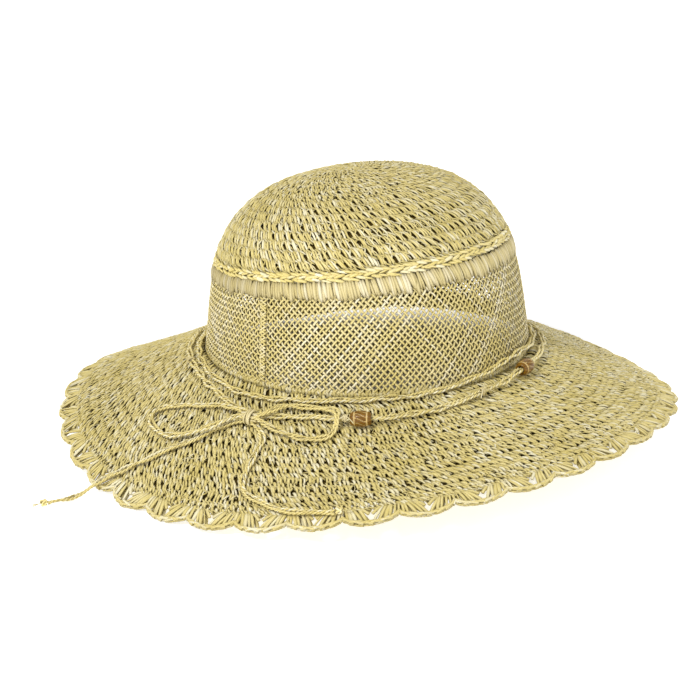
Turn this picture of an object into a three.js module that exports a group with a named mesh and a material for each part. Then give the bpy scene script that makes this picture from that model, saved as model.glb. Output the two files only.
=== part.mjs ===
// A straw sun hat: crocheted dome, open woven wall, wavy crocheted brim with a scalloped edge,
// and a loose cord hatband tied in a bow and threaded with two wooden beads.
// Millimetres, +Z up. The wearer's view is along +Y, so the bow side faces -Y.
import * as THREE from 'three';

// ---- Driving dimensions ----
const CROWN_RADIUS = 92.5;     // outside of the wall at its foot, for a 57 cm head
const CROWN_HEIGHT = 101;      // foot of the wall to the tip of the dome
const CROWN_TAPER = 0.12;      // share of its radius that the crown loses towards the tip
const CROWN_SHOULDER = [4.2, 2.5];  // exponents that set how square the shoulder is
const TIP_FLAT = 0.998;        // share of the height at which the dome is flat enough to close
const FOOT_HEIGHT = 44;        // foot of the wall above the brim's lowest edge
const LEAN_HEIGHT = 60;        // over this height the soft crown goes from its foot's tilt to its dome's
const FOOT_TILT = [-0.008, -0.024];  // slopes of the foot's ring along X and Y
const DOME_TILT = [0.086, -0.095];   // slopes of the dome's rounds along X and Y

const BRIM_RADIUS = 176.5;     // to the tips of the scallops
const BRIM_SAG = -1.9;         // how far the brim bows below a straight slope
const EDGE_MEAN = 8.35;        // mean height of the brim's edge
const EDGE_WAVES = [           // the edge's waves: turns round the brim, height, azimuth of a crest
  [1, 6.1, 30],
  [2, 6.05, 48.8],
  [3, 4.9, 35],
  [4, 2.3, -12.4],
];

const CROCHET = 3.2;           // thickness of crocheted fabric
const WOVEN = 1.6;             // thickness of the woven wall
const PANEL_HEIGHT = 47;       // top of the woven wall above the foot
const STITCH_HEIGHT = 9;       // length of the overcast joining stitches
const CHAIN_HEIGHT = 5;        // height of the braided chain round
const BASE_HEIGHT = 4;         // height of the tight round at the foot
const SCALLOPS = 38;
const SCALLOP_WIDTH = 15;      // radial width of the shell edging
const SCALLOP_DEPTH = 5;       // from tip to valley of a scallop
const GAP = 0.3;               // clearance between neighbouring pieces

const CORD = 2.8;              // diameter of the hatband's cords
const CORD_REST = CROCHET / 2 + CORD / 2 + 0.5;  // a cord's middle above the middle of the brim
const BEAD = { length: 11, end: 3.3, middle: 4.3, bore: 2.1 };
const TIE = { length: 3, end: 2.4, middle: 2.7, bore: 1.9 };
const KNOT = { height: 6.2, radius: 4.4, strand: 2.2 };
const END_KNOT = { length: 4.4, radius: 2.3 };
const SEAM = { azimuth: -38, width: 4, thickness: 1.2 };

const CROCHET_STRAW = 0xd9c795;
const WOVEN_STRAW = 0xdcc98f;
const STITCH_STRAW = 0xe6d9b8;
const CORD_STRAW = 0xcdb878;
const WOOD = 0x8a5a2e;

const CROWN_STEPS = 1.5 * SCALLOPS;  // facets round the crown
const BRIM_STEPS = 2 * SCALLOPS;
const EDGE_STEPS = 4 * SCALLOPS;

const radians = THREE.MathUtils.degToRad;

// ---- The hat's surface ----

// Outside radius of the crown at a height above its foot.
function crownRadius(height) {
  const k = THREE.MathUtils.clamp(height / CROWN_HEIGHT, 0, 1);
  const [flat, round] = CROWN_SHOULDER;
  return CROWN_RADIUS * (1 - CROWN_TAPER * k) * (1 - k ** flat) ** (1 / round);
}

// A height whose steps stay even along the profile, from 0 at the foot to 1 at the tip.
const heightAt = (t) => CROWN_HEIGHT * Math.sin(t * Math.PI / 2);
const alongProfile = (height) => Math.asin(Math.min(height / CROWN_HEIGHT, 1)) * 2 / Math.PI;

// A point of the upright crown's profile, moved inwards by depth.
function profilePoint(t, depth) {
  const step = 1e-3;
  const [a, b] = [Math.max(t - step, 0), Math.min(t + step, 1)];
  const rise = heightAt(b) - heightAt(a);
  const run = crownRadius(heightAt(b)) - crownRadius(heightAt(a));
  const length = Math.hypot(rise, run);
  const radius = crownRadius(heightAt(t)) - depth * rise / length;
  return new THREE.Vector2(radius, heightAt(t) + depth * run / length);
}

// The soft crown leans: each of its rounds is tilted a little, and shifted to stay square to its axis.
function leanCrown(point) {
  const share = THREE.MathUtils.clamp(point.z / LEAN_HEIGHT, 0, 1);
  const leaning = Math.min(point.z, LEAN_HEIGHT);
  const beyond = Math.max(point.z - LEAN_HEIGHT, 0);
  const lifted = { x: 0, y: 0, z: point.z };
  ['x', 'y'].forEach((axis, i) => {
    const turn = DOME_TILT[i] - FOOT_TILT[i];
    const tilt = FOOT_TILT[i] + turn * share;
    const shift = FOOT_TILT[i] * point.z + turn * (leaning ** 2 / (2 * LEAN_HEIGHT) + beyond);
    lifted[axis] = point[axis] - shift;
    lifted.z += tilt * point[axis];
  });
  return point.set(lifted.x, lifted.y, lifted.z + FOOT_HEIGHT);
}

const around = (azimuth, radius, z) =>
  new THREE.Vector3(radius * Math.sin(azimuth), -radius * Math.cos(azimuth), z);

// Height of the brim's edge: its waves come down to rest at three places.
const edgeHeight = (azimuth) =>
  EDGE_WAVES.reduce(
    (height, [turns, rise, crest]) => height + rise * Math.cos(turns * (azimuth - radians(crest))),
    EDGE_MEAN,
  );

// A point of the brim: out is the distance from the crown's foot, lift is square to the brim.
const BRIM_SLOPE = Math.atan2(FOOT_HEIGHT - EDGE_MEAN, BRIM_RADIUS - CROWN_RADIUS);
function brimPoint(azimuth, out, lift) {
  const share = out / (BRIM_RADIUS - CROWN_RADIUS);
  const foot = leanCrown(around(azimuth, CROWN_RADIUS, 0));
  const edge = around(azimuth, BRIM_RADIUS, edgeHeight(azimuth));
  const point = foot.lerp(edge, share);
  point.z += BRIM_SAG * 4 * share * (1 - share);
  return point.add(around(azimuth, lift * Math.sin(BRIM_SLOPE), lift * Math.cos(BRIM_SLOPE)));
}

// A point off the crown's wall: height above the foot, lift is the distance outwards.
const wallPoint = (azimuth, height, lift) =>
  leanCrown(around(azimuth, crownRadius(height) + lift, height));

// ---- Making meshes ----

// Turns a closed outline of (radius, height) points round +Z, then moves every vertex.
function turned(outline, steps, move) {
  const geometry = new THREE.LatheGeometry(outline, steps);
  geometry.rotateX(Math.PI / 2);
  const position = geometry.attributes.position;
  const vertex = new THREE.Vector3();
  for (let i = 0; i < position.count; i += 1) {
    move(vertex.fromBufferAttribute(position, i));
    position.setXYZ(i, vertex.x, vertex.y, vertex.z);
  }
  return geometry;
}

const closeOutline = (points) => [...points, points[0].clone()];

// A band of the crown between two heights.
function crownBand(low, high, thickness, rows, proud = 0) {
  const [from, to] = [alongProfile(low), alongProfile(high)];
  const levels = Array.from({ length: rows + 1 }, (_, i) => from + (to - from) * i / rows);
  const outer = levels.map((t) => profilePoint(t, -proud));
  const inner = levels.map((t) => profilePoint(t, thickness)).reverse();
  return turned(closeOutline([...outer, ...inner]), CROWN_STEPS, leanCrown);
}

// The dome above a height, closed over the tip by a small flat.
function crownDome(low, thickness, rows) {
  const [from, to] = [alongProfile(low), alongProfile(CROWN_HEIGHT * TIP_FLAT)];
  const levels = Array.from({ length: rows + 1 }, (_, i) => from + (to - from) * i / rows);
  const shell = (depth) => {
    const points = levels.map((t) => profilePoint(t, depth));
    return [...points, new THREE.Vector2(0, points.at(-1).y)];
  };
  return turned([...shell(thickness).reverse(), ...shell(0)], CROWN_STEPS, leanCrown);
}

// A ring of the brim: rows of distances out from the foot, with an optional scalloped outer edge.
function brimRing(distances, steps, scallop = () => 0) {
  const top = distances.map((out) => new THREE.Vector2(out + CROWN_RADIUS, CROCHET / 2)).reverse();
  const under = distances.map((out) => new THREE.Vector2(out + CROWN_RADIUS, -CROCHET / 2));
  const last = distances.at(-1);
  return turned(closeOutline([...under, ...top]), steps, (vertex) => {
    const azimuth = Math.atan2(vertex.x, -vertex.y);
    const out = Math.hypot(vertex.x, vertex.y) - CROWN_RADIUS;
    const drawnIn = Math.abs(out - last) < 1e-3 ? scallop(azimuth) : 0;
    vertex.copy(brimPoint(azimuth, out - drawnIn, vertex.z));
  });
}

// An upright strip laid on the wall, from one height to another.
function wallStrip({ azimuth, width, thickness }, low, high) {
  const geometry = new THREE.BoxGeometry(width, thickness, high - low, 1, 1, 6);
  const position = geometry.attributes.position;
  for (let i = 0; i < position.count; i += 1) {
    const angle = radians(azimuth) + position.getX(i) / CROWN_RADIUS;
    const height = position.getZ(i) + (low + high) / 2;
    const lift = thickness / 2 + GAP - position.getY(i);
    const vertex = wallPoint(angle, height, lift);
    position.setXYZ(i, vertex.x, vertex.y, vertex.z);
  }
  return geometry;
}

const ringSection = (radius) =>
  Array.from({ length: 8 }, (_, i) => {
    const angle = (i + 0.5) * Math.PI / 4;
    return new THREE.Vector2(Math.cos(angle), Math.sin(angle)).multiplyScalar(radius);
  });

const smooth = (points) => new THREE.CatmullRomCurve3(points, false, 'centripetal');

function cord(points, radius = CORD / 2) {
  const path = smooth(points);
  const steps = Math.ceil(path.getLength() / (6 * radius));
  return new THREE.ExtrudeGeometry(new THREE.Shape(ringSection(radius)), { steps, extrudePath: path });
}

// A cord that goes all the way round: its middle is a function of azimuth.
function cordRing(middle, steps) {
  const section = ringSection(CORD / 2).map((p) => new THREE.Vector2(p.x + CROWN_RADIUS, p.y));
  return turned(closeOutline(section), steps, (vertex) => {
    const azimuth = Math.atan2(vertex.x, -vertex.y);
    const across = Math.hypot(vertex.x, vertex.y) - CROWN_RADIUS;
    vertex.copy(middle(azimuth).add(around(azimuth, across, vertex.z)));
  });
}

// Turns an outline of (radius, distance) points about a direction through a centre.
function turnedAbout(outline, sides, centre, direction) {
  const turn = new THREE.Quaternion().setFromUnitVectors(new THREE.Vector3(0, 1, 0), direction);
  return new THREE.LatheGeometry(outline, sides).applyQuaternion(turn).translate(...centre);
}

// A barrel with a bore, and one without.
function threaded({ length, end, middle, bore }, centre, direction) {
  const outline = [[bore, -0.5], [end, -0.5], [middle, -0.2], [middle, 0.2], [end, 0.5], [bore, 0.5]];
  const points = outline.map(([radius, along]) => new THREE.Vector2(radius, along * length));
  return turnedAbout(closeOutline(points), 16, centre, direction);
}
function lump({ length, radius }, centre, direction) {
  const outline = [[0, -0.5], [0.6, -0.5], [1, -0.15], [1, 0.15], [0.6, 0.5], [0, 0.5]];
  const points = outline.map(([across, along]) => new THREE.Vector2(across * radius, along * length));
  return turnedAbout(points, 10, centre, direction);
}

// ---- Where the hatband's cords run ----

// The surface that the hat stands on.
const FLOOR = -CROCHET / 2 * Math.cos(BRIM_SLOPE);

// A point of a cord that lies on the brim: azimuth in degrees, distance out, height above the brim.
const onBrim = ([azimuth, out, lift = CORD_REST]) => brimPoint(radians(azimuth), out, lift);

// A point of a cord beyond the brim: azimuth in degrees, distance out, height above the floor.
const offBrim = ([azimuth, out, height]) => around(radians(azimuth), CROWN_RADIUS + out, FLOOR + height);

// The upper cord every 20 degrees from the back: its height up the wall, or minus its distance out.
const UPPER_ROUTE = [4, 4, 4, 4, 3.4, -2.4, -5.2, -7.6, -5.4, -3.4, -2, 4.4, 7, 4.4, 4, 4, 4, 4];
const UPPER_STEP = 360 / UPPER_ROUTE.length;

const LOWER_ROUTE = [
  [-28.9, 17.4], [-24, 16], [-19.2, 14.9], [-14, 15], [-9.5, 16.2, 4.8], [-6, 17.5, 6.2],
  [-2, 18.3, 6.5], [2, 18.1, 6.3], [9, 16.2, 4.4], [17, 14.6], [25.5, 12.6], [33, 10.4, 4.6],
  [38, 9.2, 4.6], [47, 7.8, 4.6], [52, 7.1, 6.2], [57.2, 6.6, 6.4], [62.5, 6.3, 6.2], [79, 5.4, 4],
  [99, 6.5], [120, 6], [140, 5], [160, 4.6], [180, 4.4], [200, 4.6], [220, 4.8], [240, 5.2],
  [260, 6], [272, 6.8, 4], [283, 7.4, 4.6], [289, 7.8, 4.6], [297, 8.8], [305, 10.6],
  [313, 13], [320, 16.1], [323, 18.2],
];
const LOOP_LEFT_ROUTE = [
  [-36.4, 18.6, 6.9], [-40, 18.2, 6.2], [-43.4, 17.9, 5], [-46.8, 18.6, 3.8], [-50.3, 20.4],
  [-57.5, 26.8], [-62.2, 33.6], [-62.6, 38.4], [-59.6, 42.3], [-55.2, 43.8], [-50, 41.6, 4.2],
  [-45, 37.4, 6.4], [-41, 31, 7], [-37.6, 24.9, 7], [-36.3, 22.2, 6.9],
];
const LOOP_RIGHT_ROUTE = [
  [-29.3, 18.8, 6.8], [-27.2, 16, 7], [-24.8, 12.2, 6.4], [-22.3, 9.8, 4.6], [-19, 9.3, 3.6],
  [-15.4, 10, 3.9], [-12, 11.6, 6], [-9.8, 13.5, 8.2], [-8.7, 16.2, 8.6], [-8.5, 19.4, 7.9],
  [-8.7, 22.4, 4.9], [-9.6, 25.8, 3.6], [-12.6, 28], [-17, 27.6], [-22.4, 25.6, 4.2],
  [-26.4, 23.6, 6], [-29.2, 22.3, 6.9],
];
const TAIL_LEFT_ROUTE = [
  [-36.3, 22.8], [-38.2, 24.9], [-40.4, 28.8], [-43.4, 36.5], [-47.2, 46], [-50.5, 57], [-53, 69],
  [-54.6, 79], [-55, 84, 3.6],
];
const TAIL_LEFT_END = [
  [-55.2, 87.6, 4.6], [-55.3, 92, 2.4], [-55.4, 98, 1.6], [-55.6, 106, 1.6], [-55.8, 112, 1.6],
];
const TAIL_RIGHT_ROUTE = [
  [-29.8, 24], [-28.2, 26.4], [-26.6, 31], [-26.3, 39.5], [-26.5, 47.5], [-26, 55.5],
  [-24.5, 61], [-22, 65.5], [-18.5, 70], [-15, 73], [-10.5, 75], [-6, 75.8],
];
const KNOT_PLACE = [-32.8, 20.6, 5.7];
const BEAD_PLACES = { bead_front: -2, bead_right: 57.2 };
const TIE_PLACES = { tie_left: 286, tie_front: -6.1, tie_right: 35.5 };

const upperCourse = new THREE.CatmullRomCurve3(
  UPPER_ROUTE.map((place, i) => {
    const azimuth = -180 + i * UPPER_STEP;
    return place > 0 ? wallPoint(radians(azimuth), place, CORD / 2 + 0.5) : onBrim([azimuth, -place]);
  }),
  true,
);
const upperMiddle = (azimuth) => upperCourse.getPoint((azimuth / (2 * Math.PI) + 1.5) % 1);
const lowerCourse = smooth(LOWER_ROUTE.map(onBrim));

// The place along the lower cord at an azimuth, and the cord's direction there.
function onLowerCord(azimuth) {
  const samples = Array.from({ length: 2001 }, (_, i) => i / 2000);
  const off = (u) => {
    const point = lowerCourse.getPointAt(u);
    return point.distanceTo(around(radians(azimuth), Math.hypot(point.x, point.y), point.z));
  };
  const best = samples.reduce((a, b) => (off(b) < off(a) ? b : a));
  return [lowerCourse.getPointAt(best), lowerCourse.getTangentAt(best)];
}

const hat = new THREE.Group();
function add(name, geometry, color, roughness = 0.75) {
  const mesh = new THREE.Mesh(geometry, new THREE.MeshStandardMaterial({ color, roughness, metalness: 0 }));
  mesh.name = name;
  hat.add(mesh);
}

// ---- The hat ----
const stitchesFrom = PANEL_HEIGHT + GAP;
const chainFrom = stitchesFrom + STITCH_HEIGHT + GAP;
const domeFrom = chainFrom + CHAIN_HEIGHT + GAP;
const scallopAt = (azimuth) => SCALLOP_DEPTH * (1 - Math.abs(Math.cos(azimuth * SCALLOPS / 2)) ** 0.6);
const brimWidth = BRIM_RADIUS - CROWN_RADIUS;
const roundsWidth = brimWidth - SCALLOP_WIDTH;

add('crown_top', crownDome(domeFrom, CROCHET, 8), CROCHET_STRAW);
add('crown_chain', crownBand(chainFrom, chainFrom + CHAIN_HEIGHT, CROCHET, 1, 0.4), CROCHET_STRAW);
add('join_stitching', crownBand(stitchesFrom, stitchesFrom + STITCH_HEIGHT, CROCHET, 2, 0.6), STITCH_STRAW);
add('side_panel', crownBand(BASE_HEIGHT + GAP, PANEL_HEIGHT, WOVEN, 4), WOVEN_STRAW);
add('side_seam', wallStrip(SEAM, BASE_HEIGHT + GAP, PANEL_HEIGHT), WOVEN_STRAW);
add('base_round', crownBand(0, BASE_HEIGHT, CROCHET, 1), CORD_STRAW);
add('brim', brimRing([0.5, roundsWidth / 3, roundsWidth * 2 / 3, roundsWidth], BRIM_STEPS), CROCHET_STRAW);
add('scallop_edging', brimRing([roundsWidth + 0.4, brimWidth], EDGE_STEPS, scallopAt), CROCHET_STRAW);

// The hat stands on Z = 0, in the middle of X and Y.
const stood = new THREE.Box3().setFromObject(hat);
hat.position.set(-(stood.min.x + stood.max.x) / 2, -(stood.min.y + stood.max.y) / 2, -stood.min.z);

// ---- The hatband ----
add('band_cord_upper', cordRing(upperMiddle, CROWN_STEPS), CORD_STRAW);
add('band_cord_lower', cord(LOWER_ROUTE.map(onBrim)), CORD_STRAW);

const knotAt = onBrim(KNOT_PLACE);
const knotUp = onBrim([KNOT_PLACE[0], KNOT_PLACE[1], KNOT_PLACE[2] + 1]).sub(knotAt);
const knotOut = onBrim([KNOT_PLACE[0], KNOT_PLACE[1] + 1, KNOT_PLACE[2]]).sub(knotAt).normalize();
add('bow_knot', lump({ length: KNOT.height, radius: KNOT.radius }, knotAt, knotUp), CROCHET_STRAW);
const strandReach = [KNOT.radius, KNOT.height / 2].map((size) => size + 4 * GAP + KNOT.strand / 2);
const strandOver = Array.from({ length: 9 }, (_, i) => {
  const angle = i * Math.PI / 8;
  const across = knotOut.clone().multiplyScalar(strandReach[0] * Math.cos(angle));
  return knotAt.clone().add(across).addScaledVector(knotUp, strandReach[1] * Math.sin(angle));
});
add('bow_knot_wrap', cord(strandOver, KNOT.strand / 2), STITCH_STRAW);
add('bow_loop_left', cord(LOOP_LEFT_ROUTE.map(onBrim)), CORD_STRAW);
add('bow_loop_right', cord(LOOP_RIGHT_ROUTE.map(onBrim)), CORD_STRAW);

const tails = {
  tail_left: [...TAIL_LEFT_ROUTE.map(onBrim), ...TAIL_LEFT_END.map(offBrim)],
  tail_right: TAIL_RIGHT_ROUTE.map(onBrim),
};
Object.entries(tails).forEach(([name, points]) => {
  add(name, cord(points), CORD_STRAW);
  const direction = points.at(-1).clone().sub(points.at(-2)).normalize();
  const centre = points.at(-1).clone().addScaledVector(direction, END_KNOT.length / 2 + GAP);
  centre.z += END_KNOT.radius - CORD / 2;
  add(`${name}_knot`, lump(END_KNOT, centre, direction), CORD_STRAW);
});

Object.entries(TIE_PLACES).forEach(([name, azimuth]) => {
  add(name, threaded(TIE, ...onLowerCord(azimuth)), STITCH_STRAW);
});
Object.entries(BEAD_PLACES).forEach(([name, azimuth]) => {
  add(name, threaded(BEAD, ...onLowerCord(azimuth)), WOOD, 0.45);
});

export default hat;
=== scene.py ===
"""A straw sun hat: a crocheted dome and brim, an open woven wall, a scalloped edge, and a loose
cord hatband tied in a bow and threaded with two wooden beads. Everything is in metres."""
from collections import namedtuple

import bpy
import numpy as np
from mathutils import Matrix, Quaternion, Vector


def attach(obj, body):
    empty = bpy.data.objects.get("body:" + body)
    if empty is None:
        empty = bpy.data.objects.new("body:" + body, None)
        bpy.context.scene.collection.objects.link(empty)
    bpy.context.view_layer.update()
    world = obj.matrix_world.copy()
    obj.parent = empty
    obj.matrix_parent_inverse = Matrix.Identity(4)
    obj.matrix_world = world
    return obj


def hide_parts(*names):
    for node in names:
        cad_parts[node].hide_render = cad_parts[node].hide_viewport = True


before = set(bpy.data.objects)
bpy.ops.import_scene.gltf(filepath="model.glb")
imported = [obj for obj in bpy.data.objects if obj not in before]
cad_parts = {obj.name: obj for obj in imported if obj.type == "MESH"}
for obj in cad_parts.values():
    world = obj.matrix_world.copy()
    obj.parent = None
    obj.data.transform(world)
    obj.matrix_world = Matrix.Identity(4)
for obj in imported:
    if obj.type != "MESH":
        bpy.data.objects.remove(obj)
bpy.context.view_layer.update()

MM = 0.001
TURN = 2 * np.pi
SEED = 11
MOST_TRIANGLES = 180_000  # in one piece
CURVE_STEPS = 16  # points of a cord's curve from one point of its route to the next
rng = np.random.default_rng(SEED)

# ---- The hat's measures, as the frame has them ----
CROWN_RADIUS = 92.5 * MM
CROWN_HEIGHT = 101 * MM
CROWN_TAPER = 0.12
CROWN_SHOULDER = (4.2, 2.5)
FOOT_HEIGHT = 44 * MM
LEAN_HEIGHT = 60 * MM
FOOT_TILT = np.array([-0.008, -0.024])
DOME_TILT = np.array([0.086, -0.095])
BRIM_RADIUS = 176.5 * MM
BRIM_SAG = -1.9 * MM
EDGE_MEAN = 8.35 * MM
EDGE_WAVES = ((1, 6.1 * MM, 30), (2, 6.05 * MM, 48.8), (3, 4.9 * MM, 35), (4, 2.3 * MM, -12.4))
STAND = 1.45 * MM  # how far the middle of the brim's lowest edge is above the floor
LYING_HEIGHT = 6 * MM  # a cord lower than this lies on the floor, and above twice this on the brim
CROCHET = 3.2 * MM
BASE_HEIGHT = 4 * MM
PANEL_HEIGHT = 47 * MM
STITCH_HEIGHT = 9 * MM
CHAIN_HEIGHT = 5 * MM
SCALLOPS = 38
SCALLOP_WIDTH = 15 * MM
SCALLOP_DEPTH = 5 * MM
BRIM_WIDTH = BRIM_RADIUS - CROWN_RADIUS
ROUNDS_WIDTH = BRIM_WIDTH - SCALLOP_WIDTH
BRIM_SLOPE = np.arctan2(FOOT_HEIGHT - EDGE_MEAN, BRIM_WIDTH)
PANEL_OVERLAP = 3.6 * MM  # how far the woven wall goes on past its solid, behind the joining stitches
STITCH_FOOT = 1.8 * MM  # from the top of the panel's solid to the foot of the joining stitches
FIBRE_RADIUS = 120 * MM  # mean radius of the fabric that loose fibres lie on
OPEN_AZIMUTH, OPEN_SPREAD = 0.25, 0.5  # where round the dome its loose stitches are, in radians
LOOSE_ROUNDS = {3: 0.8, 4: 1.0, 5: 0.5}  # how loose the dome's rounds are, counted from the last
CORD = 2.8 * MM
CORD_REST = 3.5  # millimetres from the middle of the brim to the middle of a cord on it
SEAM_AZIMUTH = -38
BEAD_RADIUS = 4.25 * MM
BEAD_LENGTH = 11 * MM
BEAD_BORE = 2.1 * MM


# ---- The hat's surfaces ----
def around(azimuth, radius, z):
    parts = (radius * np.sin(azimuth), -radius * np.cos(azimuth), z)
    return np.stack(np.broadcast_arrays(*parts), axis=-1)


def unit(vectors):
    return vectors / np.maximum(np.linalg.norm(vectors, axis=-1, keepdims=True), 1e-12)


def crown_radius(height):
    k = np.clip(height / CROWN_HEIGHT, 0, 1)
    square, round_ = CROWN_SHOULDER
    return CROWN_RADIUS * (1 - CROWN_TAPER * k) * (1 - k**square) ** (1 / round_)


def lean_crown(points):
    """The soft crown leans: each round is tilted, and shifted to stay square to its axis."""
    z = points[..., 2:]
    turn = DOME_TILT - FOOT_TILT
    tilt = FOOT_TILT + turn * np.clip(z / LEAN_HEIGHT, 0, 1)
    leaning, beyond = np.minimum(z, LEAN_HEIGHT), np.maximum(z - LEAN_HEIGHT, 0)
    shift = FOOT_TILT * z + turn * (leaning**2 / (2 * LEAN_HEIGHT) + beyond)
    flat = points[..., :2]
    raised = z + (tilt * flat).sum(axis=-1, keepdims=True) + FOOT_HEIGHT + STAND
    return np.concatenate([flat - shift, raised], axis=-1)


HEIGHTS = CROWN_HEIGHT * np.sin(np.linspace(0, 1, 500) * np.pi / 2)
RADII = crown_radius(HEIGHTS)
RISE, RUN = np.gradient(HEIGHTS), np.gradient(RADII)
OUTWARD, UPWARD = RISE / np.hypot(RISE, RUN), -RUN / np.hypot(RISE, RUN)
REACHES = np.concatenate([[0], np.cumsum(np.hypot(np.diff(HEIGHTS), np.diff(RADII)))])
TIP = REACHES[-1]  # length of the crown's profile, from its foot to the tip


def reach_of(height):
    """Distance along the crown's profile from its foot to a height."""
    return np.interp(height, HEIGHTS, REACHES)


def crown_surface(azimuth, reach, lift):
    """A point off the outside of the crown, at a distance along its profile from the foot."""
    radius, height = np.interp(reach, REACHES, RADII), np.interp(reach, REACHES, HEIGHTS)
    outward, upward = np.interp(reach, REACHES, OUTWARD), np.interp(reach, REACHES, UPWARD)
    return lean_crown(around(azimuth, radius + lift * outward, height + lift * upward))


def from_tip(azimuth, distance, lift):
    """The same, at a distance from the tip."""
    return crown_surface(azimuth, TIP - distance, lift)


def edge_height(azimuth):
    waves = (rise * np.cos(turns * (azimuth - np.radians(crest))) for turns, rise, crest in EDGE_WAVES)
    return EDGE_MEAN + sum(waves)


def brim_surface(azimuth, out, lift):
    """A point off the middle of the brim, at a level distance out from the crown's foot."""
    share = out / BRIM_WIDTH
    foot = lean_crown(around(azimuth, CROWN_RADIUS, 0))
    edge = around(azimuth, BRIM_RADIUS, edge_height(azimuth) + STAND)
    point = foot + (edge - foot) * np.asarray(share)[..., None]
    point[..., 2] += BRIM_SAG * 4 * share * (1 - share)
    return point + around(azimuth, lift * np.sin(BRIM_SLOPE), lift * np.cos(BRIM_SLOPE))


def scallop_depth(azimuth):
    return SCALLOP_DEPTH * (1 - np.abs(np.cos(azimuth * SCALLOPS / 2)) ** 0.6)


# ---- Strands of straw ----
Bundle = namedtuple("Bundle", "vertices fibre depth tint quads caps")
NO_CAPS = np.zeros((0, 4), int)


def triangles(bundle):
    return 2 * len(bundle.quads) + (bundle.caps.shape[1] - 2) * len(bundle.caps)


class Straw:
    """Gathers strands of straw and makes them into pieces."""

    def __init__(self):
        self.bundles = []

    def lay(self, centres, up, width, thickness, sides=6, closed=False, depth=0.0, under=0.6):
        """Adds tubes along centres (strand, point, xyz), flat to up. Depth is how deep in the fabric
        each point lies, from 0 to 1, and how much painted shade it gets; under is how much more
        painted shade a tube's underside and sides get."""
        strands, points = centres.shape[:2]
        if closed:
            ahead, behind = np.roll(centres, -1, axis=1), np.roll(centres, 1, axis=1)
            tangent = unit(ahead - behind)
        else:
            tangent = unit(np.gradient(centres, axis=1))
        side = unit(np.cross(tangent, up))
        up = np.cross(side, tangent)
        half_width = np.broadcast_to(width / 2, (strands, points))[..., None, None]
        half_thick = np.broadcast_to(thickness / 2, (strands, points))[..., None, None]
        angle = (np.arange(sides) / sides - 0.25) * TURN
        ring = np.cos(angle)[:, None] * side[:, :, None] * half_width
        ring = ring + np.sin(angle)[:, None] * up[:, :, None] * half_thick
        vertices = centres[:, :, None] + ring

        steps = np.linalg.norm(np.diff(centres, axis=1), axis=-1)
        along = np.concatenate([np.zeros((strands, 1)), np.cumsum(steps, axis=1)], axis=1)
        seed = rng.random(strands)
        fibre = np.zeros(vertices.shape)
        fibre[..., 0] = along[..., None]
        fibre[..., 1] = np.arange(sides) / sides * np.pi * np.mean(width)
        fibre[..., 2] = seed[:, None, None]
        # Painted shade: a tube's underside and sides, and its deep points, get their share of the gap
        # colour.
        underside_shade = under * (0.5 - 0.5 * np.sin(angle)) ** 0.8
        deep = 1 - (1 - np.broadcast_to(depth, (strands, points))[..., None]) * (1 - underside_shade)
        tint = rng.random(strands)[:, None, None] * np.ones((points, sides))

        index = np.arange(strands * points * sides).reshape(strands, points, sides)
        ahead = np.roll(index, -1, axis=1)
        caps = NO_CAPS
        if not closed:
            caps = np.concatenate([index[:, 0, ::-1], index[:, -1]])
            index, ahead = index[:, :-1], ahead[:, :-1]
        corners = [index, np.roll(index, -1, axis=2), np.roll(ahead, -1, axis=2), ahead]
        quads = np.stack(corners, axis=-1).reshape(-1, 4)
        self.bundles.append(Bundle(vertices, fibre, deep, tint, quads, caps))

    def lay_on(self, surface, azimuth, along, lift, width, thickness, **more):
        """Adds tubes whose middles are given on a surface."""
        azimuth, along, lift = np.broadcast_arrays(azimuth, along, lift)
        centres = surface(azimuth, along, lift)
        up = unit(surface(azimuth, along, lift + 0.1 * MM) - centres)
        self.lay(centres, up, width, thickness, **more)

    def build(self, name, body, material, nodes):
        """Makes the strands into pieces of a moderate size, which stand for the nodes."""
        groups, size = [[]], 0
        for bundle in self.bundles:
            count = triangles(bundle)
            if groups[-1] and size + count > MOST_TRIANGLES:
                groups.append([])
                size = 0
            groups[-1].append(bundle)
            size += count
        pieces = []
        for i, group in enumerate(groups):
            piece = joined(name if len(groups) == 1 else f"{name}_{i + 1}", group)
            finish_piece(piece, body, material, nodes)
            pieces.append(piece)
        return pieces


def joined(name, bundles):
    """One mesh object from bundles of faces, with the attributes that the materials read."""
    mesh = bpy.data.meshes.new(name)
    vertices = np.concatenate([b.vertices.reshape(-1, 3) for b in bundles])
    mesh.vertices.add(len(vertices))
    mesh.vertices.foreach_set("co", vertices.ravel())
    loops, lengths, base = [], [], 0
    for b in bundles:
        for faces in (b.quads, b.caps):
            loops.append((faces + base).ravel())
            lengths.append(np.full(len(faces), faces.shape[1]))
        base += b.vertices.size // 3
    loops, lengths = np.concatenate(loops), np.concatenate(lengths)
    mesh.loops.add(len(loops))
    mesh.loops.foreach_set("vertex_index", loops.astype(np.int32))
    mesh.polygons.add(len(lengths))
    starts = np.concatenate([[0], np.cumsum(lengths)[:-1]])
    mesh.polygons.foreach_set("loop_start", starts.astype(np.int32))
    mesh.polygons.foreach_set("use_smooth", np.ones(len(lengths), bool))
    fibre = mesh.attributes.new("fibre", "FLOAT_VECTOR", "POINT")
    fibre.data.foreach_set("vector", np.concatenate([b.fibre.ravel() for b in bundles]))
    for label in ("depth", "tint"):
        attribute = mesh.attributes.new(label, "FLOAT", "POINT")
        values = np.concatenate([getattr(b, label).ravel() for b in bundles])
        attribute.data.foreach_set("value", values)
    mesh.update(calc_edges=True)
    return bpy.data.objects.new(name, mesh)


def finish_piece(piece, body, material, nodes):
    bpy.context.scene.collection.objects.link(piece)
    piece.data.materials.append(material)
    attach(piece, body)
    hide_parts(*nodes)


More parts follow.
